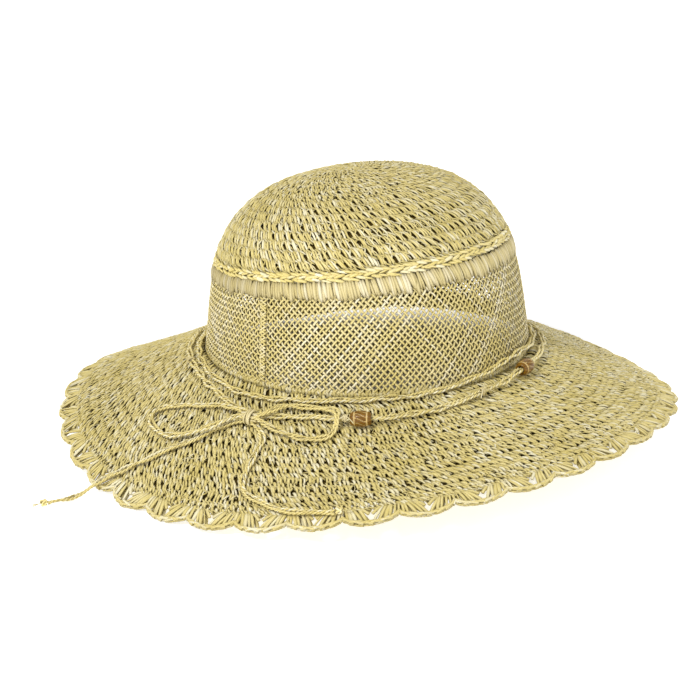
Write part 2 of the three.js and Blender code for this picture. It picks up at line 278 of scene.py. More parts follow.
# ---- Routes of the cords ----
def smooth(points, closed=False):
    """A centripetal Catmull-Rom curve through the points."""
    points = np.asarray(points, float)
    if closed:
        ring = np.concatenate([points[-1:], points, points[:2]])
    else:
        before, after = 2 * points[0] - points[1], 2 * points[-1] - points[-2]
        ring = np.concatenate([[before], points, [after]])
    gap = np.maximum(np.linalg.norm(np.diff(ring, axis=0), axis=1), 1e-9)[:, None] ** 0.5
    a, b, c, d = ring[:-3], ring[1:-2], ring[2:-1], ring[3:]
    g0, g1, g2 = gap[:-2], gap[1:-1], gap[2:]
    leave = ((b - a) / g0 - (c - a) / (g0 + g1) + (c - b) / g1) * g1
    reach = ((c - b) / g1 - (d - b) / (g1 + g2) + (d - c) / g2) * g1
    t = (np.arange(CURVE_STEPS) / CURVE_STEPS)[None, :, None]
    b, c, leave, reach = (x[:, None] for x in (b, c, leave, reach))
    curve = (2 * t**3 - 3 * t**2 + 1) * b + (t**3 - 2 * t**2 + t) * leave
    curve = curve + (3 * t**2 - 2 * t**3) * c + (t**3 - t**2) * reach
    curve = curve.reshape(-1, 3)
    return curve if closed else np.concatenate([curve, points[-1:]])


def evenly(path, step, closed=False):
    """The same path with points a step apart."""
    whole = np.concatenate([path, path[:1]]) if closed else path
    reach = np.concatenate([[0], np.cumsum(np.linalg.norm(np.diff(whole, axis=0), axis=1))])
    count = max(int(round(reach[-1] / step)), 4)
    wanted = np.linspace(0, reach[-1], count + 1)
    wanted = wanted[:-1] if closed else wanted
    return np.stack([np.interp(wanted, reach, whole[:, i]) for i in range(3)], axis=1)


def length_of(path):
    return float(np.linalg.norm(np.diff(path, axis=0), axis=1).sum())


def on_brim(places):
    """Points over the brim: azimuth in degrees, millimetres out, and millimetres above its middle."""
    rows = np.array([[*place, CORD_REST][:3] for place in places])
    return brim_surface(np.radians(rows[:, 0]), rows[:, 1] * MM, rows[:, 2] * MM)


def off_brim(places):
    """Points beyond the brim: azimuth in degrees, millimetres out, and millimetres above the floor."""
    rows = np.array(places)
    return around(np.radians(rows[:, 0]), CROWN_RADIUS + rows[:, 1] * MM, rows[:, 2] * MM)


def hat_up(points):
    """The direction away from the brim, or from the floor for a cord that lies on it."""
    outward = unit(points * (1, 1, 0))
    leaning = np.clip(points[:, 2:] / LYING_HEIGHT - 1, 0, 1)
    return unit(outward * np.sin(BRIM_SLOPE) * leaning + np.array([0, 0, np.cos(BRIM_SLOPE)]))


UPPER_ROUTE = (4, 4, 4, 4, 3.4, -2.4, -5.2, -7.6, -5.4, -3.4, -2, 4.4, 7, 4.4, 4, 4, 4, 4)
LOWER_ROUTE = (
    (-28.9, 17.4), (-24, 16), (-19.2, 14.9), (-14, 15), (-9.5, 16.2, 4.8), (-6, 17.5, 6.2),
    (-2, 18.3, 6.5), (2, 18.1, 6.3), (9, 16.2, 4.4), (17, 14.6), (25.5, 12.6), (33, 10.4, 4.6),
    (38, 9.2, 4.6), (47, 7.8, 4.6), (52, 7.1, 6.2), (57.2, 6.6, 6.4), (62.5, 6.3, 6.2), (79, 5.4, 4),
    (99, 6.5), (120, 6), (140, 5), (160, 4.6), (180, 4.4), (200, 4.6), (220, 4.8), (240, 5.2),
    (260, 6), (272, 6.8, 4), (283, 7.4, 4.6), (289, 7.8, 4.6), (297, 8.8), (305, 10.6),
    (313, 13), (320, 16.1), (323, 18.2),
)
LOOP_LEFT_ROUTE = (
    (-36.4, 18.6, 6.9), (-40, 18.2, 6.2), (-43.4, 17.9, 5), (-46.8, 18.6, 3.8), (-50.3, 20.4),
    (-57.5, 26.8), (-62.2, 33.6), (-62.6, 38.4), (-59.6, 42.3), (-55.2, 43.8), (-50, 41.6, 4.2),
    (-45, 37.4, 6.4), (-41, 31, 7), (-37.6, 24.9, 7), (-36.3, 22.2, 6.9),
)
LOOP_RIGHT_ROUTE = (
    (-29.3, 18.8, 6.8), (-27.2, 16, 7), (-24.8, 12.2, 6.4), (-22.3, 9.8, 4.6), (-19, 9.3, 3.6),
    (-15.4, 10, 3.9), (-12, 11.6, 6), (-9.8, 13.5, 8.2), (-8.7, 16.2, 8.6), (-8.5, 19.4, 7.9),
    (-8.7, 22.4, 4.9), (-9.6, 25.8, 3.6), (-12.6, 28), (-17, 27.6), (-22.4, 25.6, 4.2),
    (-26.4, 23.6, 6), (-29.2, 22.3, 6.9),
)
TAIL_LEFT_ROUTE = (
    (-36.3, 22.8), (-38.2, 24.9), (-40.4, 28.8), (-43.4, 36.5), (-47.2, 46), (-50.5, 57), (-53, 69),
    (-54.6, 79), (-55, 84, 3.6),
)
TAIL_LEFT_END = (
    (-55.2, 87.6, 4.6), (-55.3, 92, 2.4), (-55.4, 98, 1.6), (-55.6, 106, 1.6), (-55.8, 112, 1.6),
)
TAIL_RIGHT_ROUTE = (
    (-29.8, 24), (-28.2, 26.4), (-26.6, 31), (-26.3, 39.5), (-26.5, 47.5), (-26, 55.5),
    (-24.5, 61), (-22, 65.5), (-18.5, 70), (-15, 73), (-10.5, 75), (-6, 75.8),
)
KNOT_PLACE = (-32.8, 20.6, 5.7)
BEAD_PLACES = {"bead_front": -2, "bead_right": 57.2}
TIE_PLACES = {"tie_left": 286, "tie_front": -6.1, "tie_right": 35.5}


# ---- Materials ----
class Nodes:
    """A material's node tree, with short calls to add and link nodes."""

    def __init__(self, name):
        self.material = bpy.data.materials.new(name)
        self.material.use_nodes = True
        self.tree = self.material.node_tree
        self.shader = self.tree.nodes["Principled BSDF"]

    def add(self, kind, **settings):
        node = self.tree.nodes.new(f"ShaderNode{kind}")
        for key, value in settings.items():
            setattr(node, key, value)
        return node

    def link(self, output, target):
        self.tree.links.new(output, target)
        return target

    def attribute(self, name, output="Fac"):
        return self.add("Attribute", attribute_name=name).outputs[output]

    def noise(self, vector, scale, detail=2.0, roughness=0.5):
        """Noise over a vector whose axes are first multiplied by scale."""
        mapping = self.add("Mapping")
        mapping.inputs["Scale"].default_value = scale
        self.link(vector, mapping.inputs["Vector"])
        node = self.add("TexNoise")
        node.inputs["Scale"].default_value = 1.0
        node.inputs["Detail"].default_value = detail
        node.inputs["Roughness"].default_value = roughness
        self.link(mapping.outputs["Vector"], node.inputs["Vector"])
        return node.outputs["Fac"]

    def distance_from(self, point):
        node = self.add("VectorMath", operation="DISTANCE")
        self.link(self.add("TexCoord").outputs["Object"], node.inputs[0])
        node.inputs[1].default_value = point
        return node.outputs["Value"]

    def fade(self, value, low, high):
        """From 0 to 1 as the value goes from low to high."""
        node = self.add("MapRange", clamp=True)
        node.inputs["From Min"].default_value = low
        node.inputs["From Max"].default_value = high
        self.link(value, node.inputs["Value"])
        return node.outputs["Result"]

    def mix(self, share, a, b):
        node = self.add("Mix", data_type="RGBA")
        self.feed(share, node.inputs[0])
        self.feed(a, node.inputs[6])
        self.feed(b, node.inputs[7])
        return node.outputs[2]

    def multiply(self, a, b):
        node = self.add("Math", operation="MULTIPLY")
        self.feed(a, node.inputs[0])
        self.feed(b, node.inputs[1])
        return node.outputs[0]

    def feed(self, value, target):
        """Links an output, or sets a plain number or colour."""
        if isinstance(value, bpy.types.NodeSocket):
            self.link(value, target)
        elif isinstance(value, tuple):
            target.default_value = (*value, 1.0)
        else:
            target.default_value = value

    def bump(self, height, strength, distance):
        node = self.add("Bump")
        node.inputs["Strength"].default_value = strength
        node.inputs["Distance"].default_value = distance
        self.link(height, node.inputs["Height"])
        self.link(node.outputs["Normal"], self.shader.inputs["Normal"])


def straw_material(name, light, dark, pale, gap, roughness=0.5):
    """Raffia: fine streaks along each strand, strands of different tints, and painted shade on deep parts.
    """
    n = Nodes(name)
    fibre = n.attribute("fibre", "Vector")
    streak = n.noise(fibre, (110, 4200, 40), detail=3, roughness=0.6)
    blotch = n.noise(n.add("TexCoord").outputs["Object"], (26, 26, 26), detail=2)
    colour = n.mix(n.fade(streak, 0.3, 0.68), dark, light)
    colour = n.mix(n.multiply(n.fade(n.attribute("tint"), 0.6, 0.95), 0.75), colour, pale)
    colour = n.mix(n.multiply(n.fade(blotch, 0.42, 0.72), 0.4), colour, dark)
    # Painted shade: the depth attribute mixes in the gap colour, on deep points and strand undersides.
    colour = n.mix(n.attribute("depth"), colour, gap)
    n.link(colour, n.shader.inputs["Base Color"])
    n.shader.inputs["Roughness"].default_value = roughness
    n.shader.inputs["Specular IOR Level"].default_value = 0.25
    n.bump(streak, 0.55, 0.12 * MM)
    return n.material


def shade_sheet_material(name, colour):
    """Painted shade: a dark sheet for the shaded inside of crochet, seen only between its stitches."""
    n = Nodes(name)
    grain = n.noise(n.add("TexCoord").outputs["Object"], (900, 900, 900), detail=3)
    darker = tuple(0.45 * c for c in colour)
    n.link(n.mix(n.fade(grain, 0.35, 0.65), darker, colour), n.shader.inputs["Base Color"])
    n.shader.inputs["Roughness"].default_value = 0.9
    n.shader.inputs["Specular IOR Level"].default_value = 0.1
    n.bump(grain, 0.6, 0.3 * MM)
    return n.material


def bead_material():
    """Carved wood: a golden brown stain, paler where it is cut."""
    n = Nodes("bead_wood")
    grain = n.noise(n.attribute("fibre", "Vector"), (260, 1500, 8), detail=4, roughness=0.65)
    colour = n.mix(n.fade(grain, 0.3, 0.7), WOOD_DARK, WOOD_LIGHT)
    colour = n.mix(n.attribute("depth"), colour, WOOD_CUT)
    n.link(colour, n.shader.inputs["Base Color"])
    n.shader.inputs["Roughness"].default_value = 0.3
    n.shader.inputs["Specular IOR Level"].default_value = 0.3
    n.shader.inputs["Coat Weight"].default_value = 0.1
    n.shader.inputs["Coat Roughness"].default_value = 0.15
    n.bump(grain, 0.3, 0.1 * MM)
    return n.material


LIGHT = (0.93, 0.81, 0.42)
DARK = (0.62, 0.49, 0.11)
PALE = (0.98, 0.93, 0.70)
# The gap colour is a painted shadow colour, mixed into deep parts and undersides of the straw.
GAP_SHADE = (0.055, 0.034, 0.001)
STITCH_LIGHT = (0.82, 0.71, 0.41)
STITCH_DARK = (0.58, 0.47, 0.17)
STITCH_PALE = (0.90, 0.82, 0.58)
WOVEN_LIGHT = (0.90, 0.79, 0.46)
WOVEN_PALE = (0.95, 0.88, 0.66)
CORD_LIGHT = (0.97, 0.84, 0.42)
CORD_DARK = (0.68, 0.54, 0.14)
WOOD_LIGHT = (0.30, 0.145, 0.008)
WOOD_DARK = (0.06, 0.020, 0.001)
WOOD_CUT = (0.78, 0.58, 0.24)
CROCHET_STRAW = straw_material("crochet_straw", LIGHT, DARK, PALE, GAP_SHADE)
WOVEN_STRAW = straw_material("woven_straw", WOVEN_LIGHT, DARK, WOVEN_PALE, GAP_SHADE, roughness=0.45)
STITCH_STRAW = straw_material("stitch_straw", STITCH_LIGHT, STITCH_DARK, STITCH_PALE, GAP_SHADE)
CORD_STRAW = straw_material("cord_straw", CORD_LIGHT, CORD_DARK, PALE, GAP_SHADE, roughness=0.42)
# A dark sheet in a shadow colour, which stands for the shade between the stitches.
SHADE_SHEET = shade_sheet_material("straw_shade_sheet", (0.10, 0.065, 0.010))
BEAD_WOOD = bead_material()


# ---- Camera ----
def camera():
    data = bpy.data.cameras.new("camera")
    data.sensor_width = 36
    data.lens = 103.45
    data.shift_x, data.shift_y = -0.0277, -0.008
    data.clip_start, data.clip_end = 0.05, 20
    eye = bpy.data.objects.new("camera", data)
    bpy.context.scene.collection.objects.link(eye)
    elevation, roll, distance = np.radians(20.12), np.radians(1.146), 1.1413
    target = Vector((0, 0, FOOT_HEIGHT + STAND))
    eye.location = target + distance * Vector((0, -np.cos(elevation), np.sin(elevation)))
    looking = (target - eye.location).to_track_quat("-Z", "Y")
    eye.rotation_mode = "QUATERNION"
    eye.rotation_quaternion = looking @ Quaternion((0, 0, 1), -roll)
    bpy.context.scene.camera = eye


camera()


# ---- The hatband ----
KNOT = on_brim([KNOT_PLACE])[0]
KNOT_UP = unit(on_brim([(*KNOT_PLACE[:2], KNOT_PLACE[2] + 1)])[0] - KNOT)
KNOT_OUT = unit(on_brim([(KNOT_PLACE[0], KNOT_PLACE[1] + 1, KNOT_PLACE[2])])[0] - KNOT)
KNOT_ACROSS = np.cross(KNOT_OUT, KNOT_UP)


def rope(straw, path, diameter, closed=False):
    """A cord of two thin twisted strands, which run side by side and part here and there."""
    pitch = 5 * MM
    path = evenly(path, pitch / 8, closed)
    up = hat_up(path)
    ends = np.roll(path, -1, axis=0) - np.roll(path, 1, axis=0) if closed else np.gradient(path, axis=0)
    side = unit(np.cross(unit(ends), up))
    turns = round(length_of(path) / pitch)
    share = np.linspace(0, 1, len(path), endpoint=not closed)
    strand = 0.56 * diameter
    waves = max(round(turns / 5), 1)
    for i in (-1, 1):
        apart = 0.30 * diameter * (1 + 0.45 * np.sin(TURN * waves * share + 1.1 * i)
                                   + 0.25 * np.sin(TURN * 2.0 * waves * share))
        rise = 0.10 * diameter * np.sin(TURN * (waves + 2) * share) * i
        kink = 0.11 * diameter * np.sin(TURN * (turns // 3) * share + 2 * i)
        middle = path + side * (i * apart + kink)[:, None] + up * rise[:, None]
        for ply in range(2):
            angle = TURN * turns * share + ply * np.pi + i
            offset = np.cos(angle)[:, None] * side + np.sin(angle)[:, None] * up
            centre = middle + offset * strand * 0.27
            # Painted shade where a ply turns under, and on each ply's underside.
            depth = 0.2 * (0.5 - 0.5 * np.sin(angle))[None]
            width, thickness = strand * 0.66, strand * 0.56
            straw.lay(centre[None], up[None], width, thickness, closed=closed, depth=depth, under=0.55)
    wisps = round(length_of(path) / (7 * MM))
    for k in rng.integers(6, len(path) - 12, wisps):
        t = np.linspace(0, 1, 6)[:, None]
        ahead = unit(path[k + 3] - path[k])
        reach = rng.uniform(3, 6) * MM * ahead + rng.uniform(-1.9, 1.9) * MM * side[k]
        raised = 0.9 * MM + rng.uniform(0, 0.8) * MM * np.sin(np.pi * t)
        line = path[k] + reach * t + up[k] * raised
        straw.lay(line[None], np.tile(up[k], (1, 6, 1)), 0.5 * MM, 0.35 * MM, sides=4)


def free_cord(name, path, nodes):
    """One of the bow's cords, which leaves the knot."""
    straw = Straw()
    rope(straw, path, CORD)
    (piece,) = straw.build(name, "hatband", CORD_STRAW, nodes)
    line = evenly(path, 2 * MM)


def end_knot(name, path):
    """The overhand knot at a tail's end, with a few loose fibre ends."""
    straw = Straw()
    ahead = unit(path[-1] - path[-4])
    up = np.array([0, 0, 1.0])
    side = unit(np.cross(ahead, up))
    up = np.cross(side, ahead)
    centre = path[-1] + ahead * 2.2 * MM + up * 0.6 * MM
    t = np.linspace(0, TURN, 40, endpoint=False)
    for turn in (0.0, 2.1):
        reach = 1.25 * MM * np.cos(2 * t + turn)
        around_it = 1.35 * MM * np.stack([np.cos(t + turn), np.sin(t + turn)], axis=1)
        ring = centre + ahead * reach[:, None] + side * around_it[:, :1] + up * around_it[:, 1:]
        straw.lay(ring[None], unit(ring - centre)[None], 1.2 * MM, 1.0 * MM, closed=True)
    for k in range(5):
        spread = side * rng.uniform(-2, 2) * MM + up * rng.uniform(-0.6, 0.8) * MM
        t = np.linspace(0, 1, 8)[:, None]
        wisp = centre + ahead * (1 + 5.5 * t) * MM + spread * t**1.4
        straw.lay(wisp[None], np.tile(up, (1, 8, 1)), 0.5 * MM, 0.3 * MM, sides=4)
    return straw.build(name, "hatband", CORD_STRAW, [name])[0]


def bow():
    """The bow's loops and tails, each from the knot's middle."""
    inside = KNOT + KNOT_UP * 0.4 * MM
    loops = {"bow_loop_left": LOOP_LEFT_ROUTE, "bow_loop_right": LOOP_RIGHT_ROUTE}
    for name, route in loops.items():
        points = on_brim(route)
        hold = inside + unit(points[0] - inside) * 1.5 * MM
        hold_end = inside + unit(points[-1] - inside) * 1.5 * MM
        free_cord(name, smooth([hold, *points, hold_end]), [name])
    left = smooth([KNOT - KNOT_UP * 0.6 * MM, *on_brim(TAIL_LEFT_ROUTE), *off_brim(TAIL_LEFT_END)])
    right = smooth([KNOT - KNOT_UP * 0.6 * MM, *on_brim(TAIL_RIGHT_ROUTE)])
    for name, path in (("tail_left", left), ("tail_right", right)):
        end = end_knot(f"{name}_knot", path)
        free_cord(name, path, [name])


def band():
    """The two courses of cord round the crown's foot."""
    azimuths = np.radians(np.arange(18) * 20 - 180)
    places = np.array(UPPER_ROUTE) * MM
    on_wall = crown_surface(azimuths, reach_of(np.maximum(places, 0)), CORD / 2 + 0.5 * MM)
    lying = brim_surface(azimuths, np.maximum(-places, 0), CORD_REST * MM)
    upper = Straw()
    rope(upper, smooth(np.where(places[:, None] > 0, on_wall, lying), closed=True), CORD, closed=True)
    upper.build("band_cord_upper", "hatband", CORD_STRAW, ["band_cord_upper"])
    lower = Straw()
    points = on_brim(LOWER_ROUTE)
    inside = KNOT - KNOT_UP * 1.2 * MM
    rope(lower, smooth([inside, *points, inside]), CORD)
    lower.build("band_cord_lower", "hatband", CORD_STRAW, ["band_cord_lower"])


def ring_round(centre, a, b):
    """An ellipse about a centre with the half axes a and b."""
    t = np.linspace(0, TURN, 28, endpoint=False)[:, None]
    return centre + a * np.cos(t) + b * np.sin(t)


def bow_knot():
    """Strands gathered through the knot, and the turns of straw that bind them."""
    core = Straw()
    t = np.linspace(-1, 1, 9)[:, None]
    outer = 6  # strands round the middle one
    for k in range(outer + 1):
        place = TURN * k / outer
        share = 0.0 if k == outer else 1.0
        offset = share * (KNOT_OUT * np.cos(place) * 2.1 + KNOT_UP * np.sin(place) * 1.5) * MM
        line = KNOT + KNOT_ACROSS * t * 5.5 * MM + offset * (1 - 0.25 * t**2)
        core.lay(line[None], np.tile(KNOT_UP, (1, 9, 1)), 1.7 * MM, 1.4 * MM)
    core.build("bow_knot", "hatband", STITCH_STRAW, ["bow_knot"])
    wrap = Straw()
    for k in range(3):
        shift = KNOT_ACROSS * (k - 1) * 1.35 * MM
        slant = KNOT_ACROSS * rng.uniform(-0.5, 0.5) * MM
        ring = ring_round(KNOT + shift, KNOT_OUT * 3.9 * MM + slant, KNOT_UP * 3.1 * MM)
        wrap.lay(ring[None], unit(ring - KNOT)[None], 1.45 * MM, 0.8 * MM, closed=True)
    wrap.build("bow_knot_wrap", "hatband", STITCH_STRAW, ["bow_knot_wrap"])


def place_on_lower_cord(azimuth):
    """Middle and direction of the lower cord at an azimuth in degrees."""
    path = evenly(smooth(on_brim(LOWER_ROUTE)), 0.5 * MM)
    wanted = around(np.radians(azimuth), 1.0, 0.0)[:2]
    nearest = int(np.argmax(unit(path[:, :2]) @ wanted))
    return path[nearest], unit(path[nearest + 3] - path[nearest - 3])


def tie(name, azimuth):
    """A short end of straw wound twice round the cord, its ends crossed and left free."""
    centre, ahead = place_on_lower_cord(azimuth)
    up = hat_up(centre[None])[0]
    side = unit(np.cross(ahead, up))
    straw = Straw()
    t = np.linspace(0, 2.5 * TURN, 60)[:, None]
    coil = centre + ahead * (t / TURN - 1.25) * 0.9 * MM + (side * np.cos(t) + up * np.sin(t)) * 1.95 * MM
    straw.lay(coil[None], unit(coil - centre)[None], 0.95 * MM, 0.6 * MM)
    top = centre + up * 2.0 * MM
    for direction in (-1, 1):
        s = np.linspace(0, 1, 14)[:, None]
        reach = ahead * direction * 5.5 * MM + side * 4.5 * MM
        whisker = top + reach * s + up * (0.5 * np.sin(np.pi * s) - 1.2 * s) * MM
        straw.lay(whisker[None], np.tile(up, (1, 14, 1)), 0.75 * MM, 0.45 * MM, sides=5)
    straw.build(name, "hatband", STITCH_STRAW, [name])


def bead(name, azimuth):
    """A barrel bead with carved rings and long flutes, and a bore for the cord."""
    centre, ahead = place_on_lower_cord(azimuth)
    up = hat_up(centre[None])[0]
    side = unit(np.cross(ahead, up))
    up = np.cross(side, ahead)
    rows, sides = 40, 64
    along = np.linspace(-0.5, 0.5, rows)
    outer = BEAD_RADIUS * (1 - 0.24 * (2 * along) ** 4 - 0.10 * (2 * along) ** 2)
    angle = np.arange(sides) / sides * TURN
    flute = np.abs(np.sin(5 * angle[None] + 1.2 * np.sin(TURN * along[:, None])))
    belt = np.exp(-((np.abs(along) - 0.30) / 0.028) ** 2)[:, None]
    groove = np.clip(1 - flute / 0.28, 0, 1) * (np.abs(along) < 0.27)[:, None]
    carved = np.clip(groove + belt, 0, 1)
    radius = outer[:, None] - 0.38 * MM * carved
    bore = np.full((rows, sides), BEAD_BORE)
    profile = np.concatenate([radius, bore[::-1]])
    reach = np.concatenate([along, along[::-1]])[:, None] * BEAD_LENGTH * np.ones((1, sides))
    ring = np.cos(angle)[None, :, None] * side + np.sin(angle)[None, :, None] * up
    vertices = (centre + ring * profile[..., None] + ahead * reach[..., None])[None]
    index = np.arange(2 * rows * sides).reshape(1, 2 * rows, sides)
    ahead_rows = np.roll(index, -1, axis=1)
    quads = np.stack([np.roll(index, -1, 2), np.roll(ahead_rows, -1, 2), ahead_rows, index], -1)
    fibre = np.zeros(vertices.shape)
    fibre[..., 0] = reach
    fibre[..., 1] = angle * 4 * MM
    deep = np.concatenate([carved, np.zeros_like(bore)])[None]
    bundle = Bundle(vertices, fibre, deep, np.zeros_like(deep), quads.reshape(-1, 4), NO_CAPS)
    piece = joined(name, [bundle])
    finish_piece(piece, name, BEAD_WOOD, [name])


# ---- Crochet ----
def wobble(count, points, amount):
    """A random value for each strand, the same at all its points."""
    return rng.normal(0, amount, (count, 1)) * np.ones((1, points))


def uneven(azimuth, size):
    """A slow random wave round the hat, of about the given size."""
    wave = sum(np.sin(azimuth * turns + rng.uniform(0, TURN)) for turns in rng.integers(2, 14, 5))
    return size * wave / 1.6


# A stitch's legs: where each starts and ends, in stitches round and in rounds out, and how wide it is.
LONG_LEGS = (
    ((-0.62, -0.20), (0.10, 1.02), 1.0),
    ((-0.30, -0.14), (0.52, 1.10), 0.95),
    ((0.38, -0.08), (-0.04, 0.84), 0.66),
    ((0.04, 0.30), (0.70, 0.92), 0.5),
)
SHORT_LEGS = (
    ((-0.56, -0.18), (0.02, 0.62), 1.0),
    ((-0.16, -0.10), (0.40, 0.66), 0.95),
    ((0.40, -0.04), (0.00, 0.58), 0.66),
    ((-0.52, 0.48), (0.06, 1.06), 0.92),
    ((-0.04, 0.44), (0.56, 1.12), 0.85),
)


def crochet_round(straw, surface, start, end, width, top, legs, slant=0.0, loose=0.0):
    """A round of stitches: slanted legs in pairs, with a row of small loops where the round ends."""
    place = (start + end) / 2
    radius = np.linalg.norm(surface(np.zeros(1), place, 0.0) - surface(np.full(1, np.pi), place, 0.0)) / 2
    count = max(round(TURN * radius / width), 6)
    spread = TURN / count
    height = end - start
    leg = 0.37 * width
    middle = (np.arange(count) + rng.random())[:, None] * spread + wobble(count, 1, 0.07 * spread)
    lean = slant + uneven(middle, 0.3)
    from_open = (middle + np.pi) % TURN - np.pi - OPEN_AZIMUTH
    open_here = loose * np.exp(-(from_open / OPEN_SPREAD) ** 2)
    u = np.linspace(0, 1, 5)[None]
    arch = np.sin(np.pi * np.clip(u, 0.02, 0.98)) ** 0.6
    for (from_side, from_out), (to_side, to_out), share in legs:
        across = from_side + (to_side - from_side) * u + 0.6 * lean * (u - 0.5)
        azimuth = middle + spread * (across + wobble(count, 5, 0.06) + 0.08 * np.sin(np.pi * u))
        along = start + height * (from_out + (to_out - from_out) * u) + wobble(count, 5, 0.055 * height)
        lift = top - 1.25 * MM + (0.55 + 0.5 * share) * MM * arch + wobble(count, 5, 0.16 * MM)
        thick = leg * share * (0.66 + 0.34 * arch) * (1 + wobble(count, 5, 0.14))
        thick = thick * (1 - 0.35 * open_here)
        # Painted shade: the legs' ends, where they dip into the fabric, and the thinner legs are darker,
        # less so where the round is loose.
        depth = (0.5 - 0.3 * open_here) * (1 - arch) + 0.15 * (1 - share) * np.ones((count, 1))
        straw.lay_on(surface, azimuth, along, lift, thick, 0.62 * thick, depth=depth, under=1.0)
    u = np.linspace(-1, 1, 6)[None]
    for row in (-1, 1):
        azimuth = middle + spread * (0.3 * row + 0.5 * u)
        along = end + height * (0.05 * row + 0.22 * u + wobble(count, 6, 0.06))
        lift = top - 1.15 * MM + 0.6 * MM * (1 - u**2) + wobble(count, 6, 0.15 * MM)
        # Painted shade at the ends of the loops.
        depth = 0.1 + 0.4 * u**2 * np.ones((count, 1))
        straw.lay_on(surface, azimuth, along, lift, 0.66 * leg, 0.5 * leg, sides=5, depth=depth, under=1.0)
    u = np.linspace(0, 1, 5)[None]
    for side in (-1, 1):
        azimuth = middle + spread * (0.5 + side * (0.42 - 0.34 * u))
        along = start + height * (-0.1 + 1.2 * u) * np.ones((count, 1))
        lift = top - CROCHET + 0.75 * MM - 0.5 * MM * np.sin(np.pi * u) + wobble(count, 5, 0.08 * MM)
        # The strands underneath get a little painted shade.
        straw.lay_on(surface, azimuth, along, lift, 0.48 * width, 1.1 * MM, sides=5, depth=0.1, under=0.0)


def loose_fibres(straw, surface, near, far, lift, count):
    """Thin fibres that have come away and lie on the fabric."""
    azimuth = rng.uniform(0, TURN, (count, 1))
    along = rng.uniform(near, far, (count, 1))
    heading = rng.uniform(0, TURN, (count, 1))
    reach = rng.uniform(2.5, 6, (count, 1)) * MM * np.linspace(-0.5, 0.5, 6)[None]
    bend = rng.normal(0, 60, (count, 1)) * (reach**2 - reach[:, :1] ** 2)
    azimuth = azimuth + (reach * np.cos(heading) - bend * np.sin(heading)) / FIBRE_RADIUS
    along = along + reach * np.sin(heading) + bend * np.cos(heading)
    raised = lift + 0.25 * MM * (1 - (reach / reach[:, -1:]) ** 2) + wobble(count, 6, 0.12 * MM)
    straw.lay_on(surface, azimuth, along, raised, 0.42 * MM, 0.3 * MM, sides=4)


def shade_sheet(name, surface, start, end, lift, node):
    """A thin dark sheet inside the crochet, which closes the view between stitches with painted shade."""
    columns, rows = 180, 12
    azimuth = np.arange(columns)[:, None] / columns * TURN
    along = np.linspace(start, end, rows)[None]
    grid = surface(azimuth * np.ones_like(along), along * np.ones_like(azimuth), lift)
    index = np.arange(columns * rows).reshape(columns, rows)
    ahead = np.roll(index, -1, axis=0)
    quads = np.stack([index[:, :-1], ahead[:, :-1], ahead[:, 1:], index[:, 1:]], -1).reshape(-1, 4)
    none = np.zeros(grid.shape[:2])
    bundle = Bundle(grid, np.zeros(grid.shape), none, none, quads, NO_CAPS)
    piece = joined(name, [bundle])
    finish_piece(piece, "hat", SHADE_SHEET, [node])


def dome():
    straw = Straw()
    reach = TIP - reach_of(PANEL_HEIGHT + STITCH_HEIGHT + CHAIN_HEIGHT + 0.9 * MM)
    rounds = round(reach / (5.6 * MM))
    edges = np.linspace(1.2 * MM, reach, rounds + 1)
    for i in range(rounds):
        share = i / (rounds - 1)
        loose = LOOSE_ROUNDS.get(rounds - i, 0.0)
        width = (3.3 + 1.0 * share) * MM
        legs = LONG_LEGS if share > 0.5 else SHORT_LEGS
        crochet_round(straw, from_tip, edges[i], edges[i + 1], width, 0.0, legs, 0.3, loose)
    loose_fibres(straw, from_tip, 6 * MM, reach, -0.2 * MM, 500)
    straw.build("crown_top", "hat", CROCHET_STRAW, ["crown_top"])
    shade_sheet("crown_top_shade_sheet", from_tip, 0.0, reach, -1.9 * MM, "crown_top")


def brim():
    straw = Straw()
    rounds = 11
    edges = np.linspace(0.8 * MM, ROUNDS_WIDTH, rounds + 1)
    for i in range(rounds):
        start, end = edges[i], edges[i + 1]
        crochet_round(straw, brim_surface, start, end, 4.5 * MM, CROCHET / 2, SHORT_LEGS, 0.15)
    loose_fibres(straw, brim_surface, 1 * MM, ROUNDS_WIDTH, CROCHET / 2 - 0.2 * MM, 1600)
    straw.build("brim", "hat", CROCHET_STRAW, ["brim"])
    shade_sheet("brim_shade_sheet", brim_surface, 0.0, ROUNDS_WIDTH, -0.3 * MM, "brim")


# ---- Side panel ----
def weave_shift(azimuth, reach):
    """How far the soft weave has been pulled aside."""
    slow = np.sin(3 * azimuth + 1) + 0.6 * np.sin(7 * azimuth + 60 * reach) + 0.4 * np.sin(13 * azimuth)
    return slow * 0.5 * MM


def side_panel():
    straw = Straw()
    count, points = 164, 70
    spacing = TURN / count
    period = spacing * CROWN_RADIUS * 0.96
    bottom, top = reach_of(1 * MM), reach_of(PANEL_HEIGHT + PANEL_OVERLAP)
    reach = np.linspace(bottom, top, points)[None] * np.ones((count, 1))
    for way in (-1, 1):
        azimuth = np.arange(count)[:, None] * spacing + way * reach / period * spacing
        azimuth = azimuth + wobble(count, points, 0.05 * spacing)
        bent = reach + weave_shift(azimuth, reach) * np.sin(np.pi * (reach - bottom) / (top - bottom))
        lift = -0.85 * MM + way * 0.42 * MM * np.cos(TURN * reach / period)
        width = 1.32 * MM * (1 + wobble(count, points, 0.1))
        # Painted shade on the strips' undersides, which face the inside of the wall.
        straw.lay_on(crown_surface, azimuth, bent, lift, width, 0.5 * MM, under=1.0)
    straw.build("side_panel", "hat", WOVEN_STRAW, ["side_panel"])


